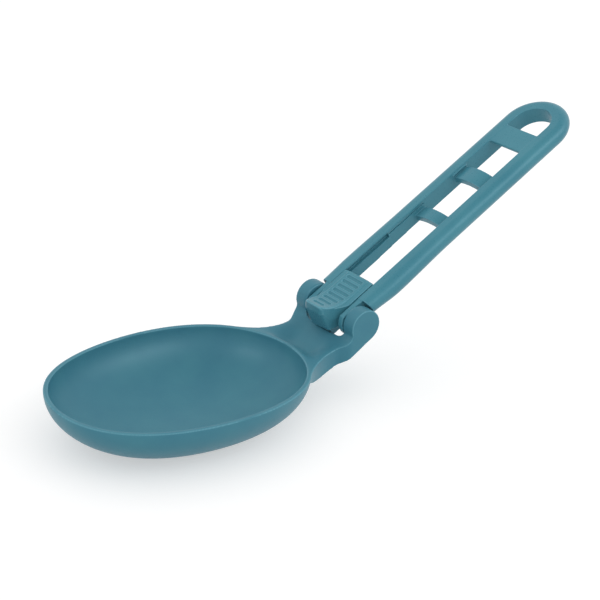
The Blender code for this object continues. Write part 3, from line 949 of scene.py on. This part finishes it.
@dataclass
class LadderHandle:
    """The handle: rails, loop, tongues, two arched bars, the end web and the slider's grooves."""

    pose: HingePose
    rails: Rails = field(default_factory=Rails)
    hole_radius: float = 0.0023
    hole_sides: int = 72
    hole_straight: float = 0.0046
    web_length: float = 0.0088
    web_thickness: float = 0.0012
    slot_three_length: float = 0.0125
    bar_two_length: float = 0.0063
    bar_two_drop: float = 0.0007
    slot_two_length: float = 0.0150
    bar_one_length: float = 0.0047
    bar_one_drop: float = 0.00174
    bar_thickness: float = 0.0024
    bar_crown: float = 0.00138
    bar_steps: int = 40
    ledge_height: float = 0.0005
    ledge_depth: float = 0.0004
    ledge_drop: float = 0.0008
    groove_drop: float = 0.0007
    groove_height: float = 0.0019
    groove_depth: float = 0.0013
    groove_start: float = 0.0072
    groove_stop: float = 0.0123
    slit_drop: float = 0.0011
    slit_height: float = 0.0005
    slit_depth: float = 0.0006
    overrun: float = 0.002
    edges: MouldingFinish = field(default_factory=lambda: MouldingFinish(0.00016, 7))

    @property
    def web_start(self) -> float:
        """Give where the end web starts."""
        return self.rails.loop_reach - self.hole_straight - self.web_length

    @property
    def bar_two_start(self) -> float:
        """Give where the rear bar starts."""
        return self.web_start - self.slot_three_length - self.bar_two_length

    @property
    def bar_one_start(self) -> float:
        """Give where the front bar starts."""
        return self.bar_two_start - self.slot_two_length - self.bar_one_length

    def bar(self, start: float, length: float, drop: float) -> bpy.types.Object:
        """Model one cross bar, arched across the handle above and below.

        Args:
            start: Where it starts along the handle.
            length: How long it is along the handle.
            drop: How far its crown lies below the rails' top.

        Returns:
            The bar.
        """
        slot = self.rails.slot_half_width
        half = slot + self.groove_depth
        radius = (slot**2 + self.bar_crown**2) / (2 * self.bar_crown)
        upper = []
        for i in range(self.bar_steps + 1):
            y = -half + 2 * half * i / self.bar_steps
            sag = radius - math.sqrt(radius**2 - y**2)
            upper.append((y, self.rails.top - drop - sag))
        lower = [(y, z - self.bar_thickness) for y, z in reversed(upper)]
        ends = (start, start + length)
        return loft("bar", [[Vector((x, y, z)) for y, z in upper + lower] for x in ends])

    def cut_grooves(self, handle: bpy.types.Object) -> None:
        """Cut the axle holes and the grooves that the slider's wings run in.

        Args:
            handle: The handle so far.
        """
        slot = self.rails.slot_half_width
        inside = slot - self.overrun
        top = self.rails.top - self.groove_drop
        rear = self.bar_one_start - self.groove_stop
        for side in (-1, 1):
            combine(handle, self.rails.tongue(side), "UNION")
            low, high = span(side, inside, slot + self.rails.tongue_thickness + self.overrun)
            hole = disc("hole", self.hole_radius, low, high, self.hole_sides)
            combine(handle, hole, "DIFFERENCE")
            low, high = span(side, inside, slot + self.groove_depth)
            front = (self.groove_start, low, top - self.groove_height)
            combine(handle, box("groove", front, (rear, high, top)), "DIFFERENCE")
            low, high = span(side, inside, slot + self.slit_depth)
            slit_top = self.rails.top - self.slit_drop
            front = (rear - self.overrun, low, slit_top - self.slit_height)
            back = (self.bar_one_start + self.bar_one_length, high, slit_top)
            combine(handle, box("slit", front, back), "DIFFERENCE")

    def add_ladder(self, handle: bpy.types.Object) -> None:
        """Join the bars, the end web and the small ledges beside the rear bar.

        Args:
            handle: The handle so far.
        """
        wall = self.rails.slot_half_width + self.groove_depth
        first = self.bar(self.bar_one_start, self.bar_one_length, self.bar_one_drop)
        second = self.bar(self.bar_two_start, self.bar_two_length, self.bar_two_drop)
        top = self.rails.top - self.rails.inset
        low = (self.web_start, -wall, top - self.web_thickness)
        web = box("web", low, (self.web_start + self.web_length, wall, top))
        for part in (first, second, web):
            combine(handle, part, "UNION")
        top = self.rails.top - self.ledge_drop
        for side in (-1, 1):
            near, far = span(side, self.rails.slot_half_width - self.ledge_depth, wall)
            low = (self.bar_two_start - self.ledge_depth, near, top - self.ledge_height)
            high = (self.bar_two_start + self.bar_two_length, far, top)
            combine(handle, box("ledge", low, high), "UNION")

    def build(self) -> bpy.types.Object:
        """Model the handle and raise it about the hinge axis.

        Returns:
            The finished handle.
        """
        handle = self.rails.sweep()
        self.cut_grooves(handle)
        self.add_ladder(handle)
        self.edges.soften(handle)
        handle.data.transform(self.pose.raised())
        return handle


@dataclass
class LockSlider:
    """The ribbed thumb slider: ramp, nose with its lip, lock block and side wings."""

    pose: HingePose
    top: float = 0.00456
    body_half: float = 0.0069
    rear: float = 0.0129
    body_drop: float = 0.0058
    shoulder_drop: float = 0.0008
    top_rise: float = 0.00036
    top_half_width: float = 0.0051
    ramp_start: float = 0.0051
    ramp_front: float = -0.0072
    ramp_rise: float = 0.0052
    nose_half_width: float = 0.00376
    foot_half_width: float = 0.0051
    nose_foot: float = -0.0080
    nose_brow: float = -0.0080
    brow_rise: float = 0.0026
    brow_share: float = 0.3
    top_full: float = -0.0025
    top_power: float = 2.2
    edge_start: float = -0.0036
    edge_full: float = 0.0022
    edge_drop: float = 0.0007
    edge_rise: float = 0.00015
    waist_share: float = 0.97
    foot_round: float = 0.0012
    nose_root: float = 0.0016
    nose_round: float = 0.0010
    top_round: float = 0.0005
    inset: float = 0.00005
    foot_corner: float = 0.0004
    lip: float = -0.00103
    rear_round: float = 0.0012
    round_steps: int = 8
    ramp_steps: int = 40
    ball_segments: int = 48
    block_front: float = -0.0068
    block_length: float = 0.0040
    block_half_width: float = 0.0036
    block_drop: float = 0.0036
    wing_start: float = 0.0075
    wing_length: float = 0.0046
    wing_top_drop: float = 0.0010
    wing_height: float = 0.0013
    wing_half_width: float = 0.0082
    groove_count: int = 8
    groove_pitch: float = 0.00215
    groove_first: float = 0.0104
    groove_radius: float = 0.00070
    groove_rise: float = 0.00020
    groove_half_length: float = 0.0040
    groove_taper_start: float = 0.0014
    groove_taper_share: float = 0.23
    edges: MouldingFinish = field(default_factory=lambda: MouldingFinish(0.00009, 8))

    def ramp_top(self, x: float) -> tuple[float, float]:
        """Give the top face's height and slope at one x.

        Args:
            x: Where it is along the slider.

        Returns:
            The height and the slope.
        """
        run = self.ramp_start - self.ramp_front
        radius = (run**2 + self.ramp_rise**2) / (2 * self.ramp_rise)
        ahead = min(max(self.ramp_start - x, 0), run)
        height = self.top + self.top_rise + radius - math.sqrt(radius**2 - ahead**2)
        return height, math.asin(ahead / radius)

    def corner(self, half_width: float, top: float, radius: float) -> Profile:
        """Give the rounded corner between the slider's top and its side.

        Args:
            half_width: The top's half width.
            top: The top's height.
            radius: The corner's radius.

        Returns:
            The corner's points, from the top outwards and down.
        """
        points = []
        for i in range(self.round_steps + 1):
            angle = math.pi / 2 * i / self.round_steps
            y = half_width - radius * (1 - math.sin(angle))
            points.append((y, top - radius * (1 - math.cos(angle))))
        return points

    def top_half(self, x: float) -> float:
        """Give the top face's half width, which opens quickly behind the nose.

        Args:
            x: Where it is along the slider.

        Returns:
            The half width.
        """
        ahead = min(max((self.top_full - x) / (self.top_full - self.ramp_front), 0), 1)
        share = 1 - ahead**self.top_power
        return self.nose_half_width + (self.top_half_width - self.nose_half_width) * share

    def body_row(self, x: float) -> list[Vector]:
        """Give half of the cross section at one x, from its top corner down to its foot.

        Args:
            x: Where the section is along the slider.

        Returns:
            The section's points.
        """
        low = self.lip if x < self.nose_root else self.top - self.body_drop
        share = smooth_step(self.ramp_front, self.edge_full, x)
        spread = smooth_step(self.edge_start, self.edge_full, x)
        ending = max(x - self.rear + self.rear_round, 0) / self.rear_round
        pulled = self.rear_round * (1 - math.sqrt(max(1 - ending**2, 0)))
        top = self.ramp_top(x)[0] - pulled
        edge_half = self.top_half(x) + (self.body_half - self.top_half_width) * spread
        edge = max(top - self.edge_drop, self.top + self.edge_rise - pulled)
        foot_half = self.foot_half_width + (self.body_half - self.foot_half_width) * share
        foot_half = max(foot_half, edge_half)
        radius = self.nose_round + (self.top_round - self.nose_round) * spread
        points = self.corner(self.top_half(x) - pulled, top, min(radius, top - edge - self.inset))
        points.append((max(edge_half - pulled, points[-1][0]), edge))
        points.append((foot_half, (edge + low) / 2))
        points.append((foot_half, low + self.foot_corner))
        points.append((foot_half - self.foot_corner, low))
        return [Vector((x, y, z)) for y, z in points]

    def nose_row(self, turn: float) -> list[Vector]:
        """Give half of the nose's outline, its front edge rounded as turn goes to a quarter.

        Args:
            turn: How far round the front edge the outline is.

        Returns:
            The outline's points.
        """
        inset = self.nose_round * (1 - math.sin(turn))
        back = self.nose_round * (1 - math.cos(turn))
        top = self.ramp_top(self.ramp_front + back)[0] - inset
        top_half = self.top_half(self.ramp_front + back)
        spread = self.foot_half_width - top_half
        brow = (self.nose_brow + back, top_half + spread * self.brow_share - inset)
        waist_half = self.foot_half_width * self.waist_share - inset
        waist_z = (self.top - self.shoulder_drop + self.lip) / 2
        foot = self.nose_foot + back
        half = self.foot_half_width - inset
        row = []
        for y, z in self.corner(top_half - inset, top, self.nose_round):
            fall = (top - z) / (top - self.top - self.brow_rise)
            front = self.ramp_front + (self.nose_brow - self.ramp_front) * fall
            row.append(Vector((front + back, y, z)))
        row.append(Vector((*brow, self.top + self.brow_rise)))
        row.append(Vector(((self.nose_brow + self.nose_foot) / 2 + back, waist_half, waist_z)))
        row.append(Vector((foot, half, self.lip + self.foot_round)))
        row.append(Vector((foot, half - self.foot_round, self.lip)))
        return row

    def shell(self) -> bpy.types.Object:
        """Model the slider's outer shape, closed at both ends.

        Returns:
            The closed shape.
        """
        halves = []
        for i in range(self.round_steps + 1):
            halves.append(self.nose_row(math.pi / 2 * i / self.round_steps))
        start = self.ramp_front + self.nose_round
        for i in range(1, self.ramp_steps + 1):
            share = i / self.ramp_steps
            halves.append(self.body_row(start + (self.ramp_start - start) * share))
        for i in range(self.round_steps + 1):
            back = self.rear_round * (1 - math.sin(math.pi / 2 * i / self.round_steps))
            halves.append(self.body_row(self.rear - back))
        rows = []
        for half in halves:
            other = [Vector((point.x, -point.y, point.z)) for point in reversed(half)]
            rows.append(half + other)
        return loft("slider_moulding", rows)

    def groove(self, x: float) -> bpy.types.Object:
        """Model the cutter of one grip groove: a capsule across the ramp.

        Args:
            x: Where the groove is along the slider.

        Returns:
            The cutter.
        """
        shorter = max(self.groove_taper_start - x, 0) * self.groove_taper_share
        straight = self.groove_half_length - shorter - self.groove_radius
        deselect_all()
        bpy.ops.mesh.primitive_uv_sphere_add(
            segments=self.ball_segments,
            ring_count=self.ball_segments // 2,
            radius=self.groove_radius,
        )
        cutter = newest("groove")
        cutter.data.transform(Matrix.Rotation(math.pi / 2, 4, "X"))
        edit(cutter)
        bpy.ops.mesh.select_all(action="SELECT")
        bpy.ops.mesh.bisect(plane_co=(0, 0, 0), plane_no=(0, 1, 0))
        bpy.ops.object.mode_set(mode="OBJECT")

        def drawn_out(co: Vector) -> Vector:
            """Move one point of the ball to its place on the capsule.

            Args:
                co: The point on the ball.

            Returns:
                The point on the capsule.
            """
            if abs(co.y) < WELD_GAP:
                return co
            reach = math.sqrt(max(self.groove_radius**2 - co.x**2 - co.z**2, 0))
            return Vector((co.x, math.copysign(reach + straight, co.y), co.z))

        shape(cutter, drawn_out)
        height, slope = self.ramp_top(x)
        place = Matrix.Translation((x, 0, height)) @ Matrix.Rotation(slope, 4, "Y")
        cutter.data.transform(place @ Matrix.Translation((0, 0, self.groove_rise)))
        make_sound(cutter)
        return cutter

    def build(self) -> bpy.types.Object:
        """Model the slider and raise it about the hinge axis.

        Returns:
            The finished slider.
        """
        slider = self.shell()
        block_top = self.top - self.shoulder_drop - self.foot_corner
        low = (self.block_front, -self.block_half_width, -self.block_drop)
        high = (self.block_front + self.block_length, self.block_half_width, block_top)
        combine(slider, box("block", low, high), "UNION")
        top = self.top - self.wing_top_drop
        for side in (-1, 1):
            near, far = span(side, self.body_half - self.rear_round, self.wing_half_width)
            low = (self.wing_start, near, top - self.wing_height)
            high = (self.wing_start + self.wing_length, far, top)
            combine(slider, box("wing", low, high), "UNION")
        for i in range(self.groove_count):
            groove = self.groove(self.groove_first - self.groove_pitch * i)
            combine(slider, groove, "DIFFERENCE")
        self.edges.soften(slider)
        slider.data.transform(self.pose.raised())
        return slider


# Finishes


def linear(code: str) -> tuple[float, float, float, float]:
    """Turn an sRGB hex colour into the linear colour that a shader takes.

    Args:
        code: Six hex digits.

    Returns:
        The linear colour with full alpha.
    """
    parts = [int(code[i : i + 2], 16) / 255 for i in (0, 2, 4)]
    red, green, blue = (
        part / 12.92 if part <= 0.04045 else ((part + 0.055) / 1.055) ** 2.4 for part in parts
    )
    return red, green, blue, 1.0


def add_node(tree: bpy.types.NodeTree, kind: str, settings: dict[str, Any], **links: Any) -> Any:
    """Add a node with its settings and links.

    Args:
        tree: The node tree.
        kind: The node's type.
        settings: Values for the node's own properties, or for inputs that are named.
        **links: For each input, the socket that feeds it; an underscore stands for a space.

    Returns:
        The node.
    """
    node = tree.nodes.new(kind)
    for name, value in settings.items():
        if name in node.bl_rna.properties:
            setattr(node, name, value)
        else:
            node.inputs[name].default_value = value
    for name, socket in links.items():
        key = int(name[1:]) if name[1:].isdigit() else name.replace("_", " ")
        tree.links.new(socket, node.inputs[key])
    return node


class MouldTexture(Enum):
    """How the steel mould's own surface was finished."""

    SPARK_ERODED = "spark eroded"
    BLASTED = "blasted"


@dataclass(frozen=True)
class MouldedNylon:
    """Dyed nylon, injection moulded: a satin, slightly grainy surface, with a highlight painted
    paler along its sharp edges.
    """

    name: str
    colour: str = "478495"
    shade: str = "3e7b8e"
    light: str = "458393"
    # The paler colour painted along sharp edges as a highlight, and the curvatures in 1/mm where
    # it starts and is full
    painted_highlight_colour: str = "6aa4b4"
    sheen: str = "d0f3ff"
    sheen_level: float = 0.32
    roughness: float = 0.36
    refraction: float = 1.53
    painted_highlight_from: float = 0.7
    painted_highlight_full: float = 2.0
    painted_highlight_share: float = 0.6
    speck_share: float = 0.24
    texture: MouldTexture = MouldTexture.SPARK_ERODED
    grain_mm: float = 0.6
    cloud_mm: float = 14.0
    grain_depth: float = 0.018

    def scale(self, size_mm: float) -> float:
        """Give the noise scale, in Object coordinates in metres, for features of a real size."""
        return 1000 / size_mm

    def build(self) -> bpy.types.Material:
        """Make the material's nodes.

        Returns:
            The material.
        """
        material = bpy.data.materials.new(self.name)
        material.use_nodes = True
        tree = material.node_tree
        shader = tree.nodes["Principled BSDF"]
        place = add_node(tree, "ShaderNodeTexCoord", {}).outputs["Object"]

        # Dye and flow marks: broad, faint clouds of a lighter and a darker teal
        broad = {"Scale": self.scale(self.cloud_mm), "Detail": 3.0, "Roughness": 0.5}
        clouds = add_node(tree, "ShaderNodeTexNoise", broad, Vector=place)
        tint = add_node(tree, "ShaderNodeValToRGB", {}, Fac=clouds.outputs["Fac"])
        tint.color_ramp.elements[0].position = 0.32
        tint.color_ramp.elements[0].color = linear(self.shade)
        tint.color_ramp.elements[1].position = 0.70
        tint.color_ramp.elements[1].color = linear(self.light)

        # Pigment specks in the plastic, fine enough to read as one colour from arm's length
        fine = {"Scale": self.scale(self.grain_mm), "Detail": 2.0, "Roughness": 0.6}
        specks = add_node(tree, "ShaderNodeTexNoise", fine, Vector=place).outputs["Fac"]
        levels = {"From Min": 0.30, "From Max": 0.75, "To Max": self.speck_share}
        share = add_node(tree, "ShaderNodeMapRange", levels, Value=specks).outputs["Result"]
        mixed = {"data_type": "RGBA"}
        dyed = tint.outputs["Color"]
        speckled = add_node(tree, "ShaderNodeMix", mixed, Factor=share, _6=dyed)
        speckled.inputs[7].default_value = linear(self.colour)

        # Painted highlight: the colour is made paler along the sharply curved outer edges, where
        # they catch the light
        stored = add_node(tree, "ShaderNodeAttribute", {"attribute_name": "edge_highlight_mask"})
        levels = {
            "From Min": self.painted_highlight_from,
            "From Max": self.painted_highlight_full,
            "To Max": self.painted_highlight_share,
        }
        bulge = stored.outputs["Fac"]
        share = add_node(tree, "ShaderNodeMapRange", levels, Value=bulge).outputs["Result"]
        fresh = speckled.outputs[2]
        edge_highlighted = add_node(tree, "ShaderNodeMix", mixed, Factor=share, _6=fresh)
        edge_highlighted.inputs[7].default_value = linear(self.painted_highlight_colour)
        tree.links.new(edge_highlighted.outputs[2], shader.inputs["Base Color"])

        # Satin gloss, broken up by the mould's own texture
        levels = {
            "From Min": 0.3,
            "From Max": 0.7,
            "To Min": self.roughness - 0.04,
            "To Max": self.roughness + 0.05,
        }
        gloss = add_node(tree, "ShaderNodeMapRange", levels, Value=specks)
        tree.links.new(gloss.outputs["Result"], shader.inputs["Roughness"])
        shader.inputs["IOR"].default_value = self.refraction
        shader.inputs["Specular IOR Level"].default_value = self.sheen_level
        shader.inputs["Specular Tint"].default_value = linear(self.sheen)
        shader.inputs["Metallic"].default_value = 0.0

        # The texture's relief: pits of a spark-eroded mould, or the softer skin of a blasted one
        relief = specks
        if self.texture is MouldTexture.SPARK_ERODED:
            pits = {"Scale": self.scale(self.grain_mm)}
            relief = add_node(tree, "ShaderNodeTexVoronoi", pits, Vector=place).outputs["Distance"]
        depth = {"Strength": 0.5, "Distance": self.grain_depth / 1000}
        bump = add_node(tree, "ShaderNodeBump", depth, Height=relief)
        tree.links.new(bump.outputs["Normal"], shader.inputs["Normal"])
        return material


# The studio


@dataclass(frozen=True)
class SoftBox:
    """One soft rectangular lamp that looks at the spoon."""

    name: str
    place: tuple[float, float, float]
    size: tuple[float, float]
    power: float
    sheen_only: bool = False
    target: tuple[float, float, float] = (0.0, 0.0, 0.03)

    def build(self) -> None:
        """Hang the lamp; one for sheen alone leaves the plastic's own colours as they are."""
        light = bpy.data.lights.new(self.name, "AREA")
        light.shape = "RECTANGLE"
        light.size, light.size_y = self.size
        light.energy = self.power
        lamp = bpy.data.objects.new(self.name, light)
        bpy.context.collection.objects.link(lamp)
        lamp.location = self.place
        lamp.visible_diffuse = not self.sheen_only
        aim = Vector(self.target) - Vector(self.place)
        lamp.rotation_euler = aim.to_track_quat("-Z", "Y").to_euler()


@dataclass
class Studio:
    """A pale floor, soft lamps and the camera at the photograph's viewing angle."""

    pose: HingePose
    lamps: tuple[SoftBox, ...] = (
        SoftBox("front_softbox", (0.41, -0.81, 0.71), (0.85, 0.75), 1.1),
        SoftBox("front_sheen", (0.41, -0.81, 0.71), (0.90, 0.42), 5.2, sheen_only=True),
        SoftBox("rear_sheen", (-0.72, 0.13, 0.84), (0.34, 0.34), 2.3, sheen_only=True),
    )
    floor_gap: float = 0.0001
    floor_size: float = 6.0
    floor_lift: float = 0.46
    floor_bounce: float = 0.08
    floor_colour: str = "cccccc"
    floor_roughness: float = 0.9
    sky: float = 0.94
    sky_gap_heights: tuple[float, float] = (0.75, 0.97)
    sky_gap: float = 0.8
    lens: float = 92.6
    sensor: float = 36.0
    nearest: float = 0.01
    camera_place: tuple[float, float, float] = (-0.2986, -0.3509, 0.2110)
    right: tuple[float, float, float] = (0.79285, -0.60694, 0.05483)
    down: tuple[float, float, float] = (-0.21106, -0.35787, -0.90961)
    forward: tuple[float, float, float] = (0.57170, 0.70961, -0.41184)

    def floor(self) -> None:
        """Lay the floor, which looks white to the camera and keeps the spoon's shadow."""
        deselect_all()
        bpy.ops.mesh.primitive_plane_add(size=self.floor_size, location=(0, 0, -self.floor_gap))
        floor = newest("floor")
        make_active(floor)
        bpy.ops.object.transform_apply(location=True, rotation=True, scale=True)
        material = bpy.data.materials.new("matt white paper")
        material.use_nodes = True
        tree = material.node_tree
        shader = tree.nodes["Principled BSDF"]
        shader.inputs["Base Color"].default_value = linear(self.floor_colour)
        shader.inputs["Roughness"].default_value = self.floor_roughness
        shader.inputs["Emission Color"].default_value = (1, 1, 1, 1)
        rays = add_node(tree, "ShaderNodeLightPath", {})
        seen = rays.outputs["Is Camera Ray"]
        for name in ("Is Glossy Ray", "Is Transmission Ray"):
            either = add_node(tree, "ShaderNodeMath", {"operation": "MAXIMUM"}, _0=seen)
            tree.links.new(rays.outputs[name], either.inputs[1])
            seen = either.outputs[0]
        levels = {"To Min": self.floor_bounce, "To Max": self.floor_lift}
        lift = add_node(tree, "ShaderNodeMapRange", levels, Value=seen)
        tree.links.new(lift.outputs["Result"], shader.inputs["Emission Strength"])
        floor.data.materials.append(material)

    def world(self) -> None:
        """Light the scene evenly from a pale sky, with a dark gap overhead in reflections."""
        world = bpy.data.worlds.new("studio walls")
        bpy.context.scene.world = world
        world.use_nodes = True
        tree = world.node_tree
        background = tree.nodes["Background"]
        background.inputs["Color"].default_value = (1, 1, 1, 1)
        place = add_node(tree, "ShaderNodeTexCoord", {}).outputs["Generated"]
        height = add_node(tree, "ShaderNodeSeparateXYZ", {}, Vector=place).outputs["Z"]
        low, high = self.sky_gap_heights
        levels = {"From Min": low, "From Max": high, "To Max": self.sky_gap}
        gap = add_node(tree, "ShaderNodeMapRange", levels, Value=height)
        mirrored = add_node(tree, "ShaderNodeLightPath", {}).outputs["Is Glossy Ray"]
        dark = gap.outputs["Result"]
        unlit = add_node(tree, "ShaderNodeMath", {"operation": "MULTIPLY"}, _0=dark, _1=mirrored)
        glow = add_node(tree, "ShaderNodeMath", {"operation": "SUBTRACT"}, _1=unlit.outputs[0])
        glow.inputs[0].default_value = self.sky
        tree.links.new(glow.outputs[0], background.inputs["Strength"])

    def camera(self) -> None:
        """Set the camera where the photograph was taken from."""
        lens = bpy.data.cameras.new("camera")
        lens.lens = self.lens
        lens.sensor_width = self.sensor
        lens.sensor_fit = "HORIZONTAL"
        lens.clip_start = self.nearest
        camera = bpy.data.objects.new("camera", lens)
        bpy.context.collection.objects.link(camera)
        columns = [Vector(self.right), -Vector(self.down), -Vector(self.forward)]
        turn = Matrix(columns).transposed().to_4x4()
        place = Vector(self.camera_place) + Vector(self.pose.place)
        camera.matrix_world = Matrix.Translation(place) @ turn
        bpy.context.scene.camera = camera

    def build(self) -> None:
        """Set up the floor, the light and the camera."""
        self.floor()
        self.world()
        for lamp in self.lamps:
            lamp.build()
        self.camera()
        bpy.context.scene.view_settings.view_transform = "Standard"


def dress(piece: bpy.types.Object, finish: MouldedNylon, body: str, node: str) -> None:
    """Give a moulding its plastic and its place among the moving bodies.

    Args:
        piece: The moulding.
        finish: Its plastic.
        body: The body that it moves with.
        node: The plain solid that it stands for.
    """
    piece.data.materials.clear()
    piece.data.materials.append(finish.build())
    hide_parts(node)
    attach(piece, body)
    log.info("%s: %d faces, rides on %s", piece.name, len(piece.data.polygons), body)


def main() -> None:
    """Build the three mouldings and the studio, and log each moulding's face count."""
    pose = HingePose()
    # Spark-eroded steel leaves shallow pits, so the bowl reads as an even, soft satin
    head_plastic = MouldedNylon(
        "spark-eroded nylon", roughness=0.42, painted_highlight_from=0.45, painted_highlight_full=1.3
    )
    # Blasted steel leaves a smoother skin, so the rails catch a long, grainy streak of light
    handle_plastic = MouldedNylon(
        "blasted nylon",
        colour="4b8b9b",
        shade="428293",
        light="4a8a99",
        roughness=0.30,
        texture=MouldTexture.BLASTED,
        grain_depth=0.03,
    )
    # The same skin with a finer grain, its painted edge highlight reaching onto gentler edges
    slider_plastic = replace(
        handle_plastic,
        name="fine blasted nylon",
        painted_highlight_from=0.3,
        painted_highlight_full=1.1,
        grain_depth=0.018,
    )
    dress(SpoonHead(pose).build(), head_plastic, "head", "spoon_head")
    handle = LadderHandle(pose).build()
    dress(handle, handle_plastic, "handle", "handle_frame")
    dress(LockSlider(pose).build(), slider_plastic, "slider", "lock_slider")
    Studio(pose).build()
    deselect_all()


if __name__ == "__main__":
    main()
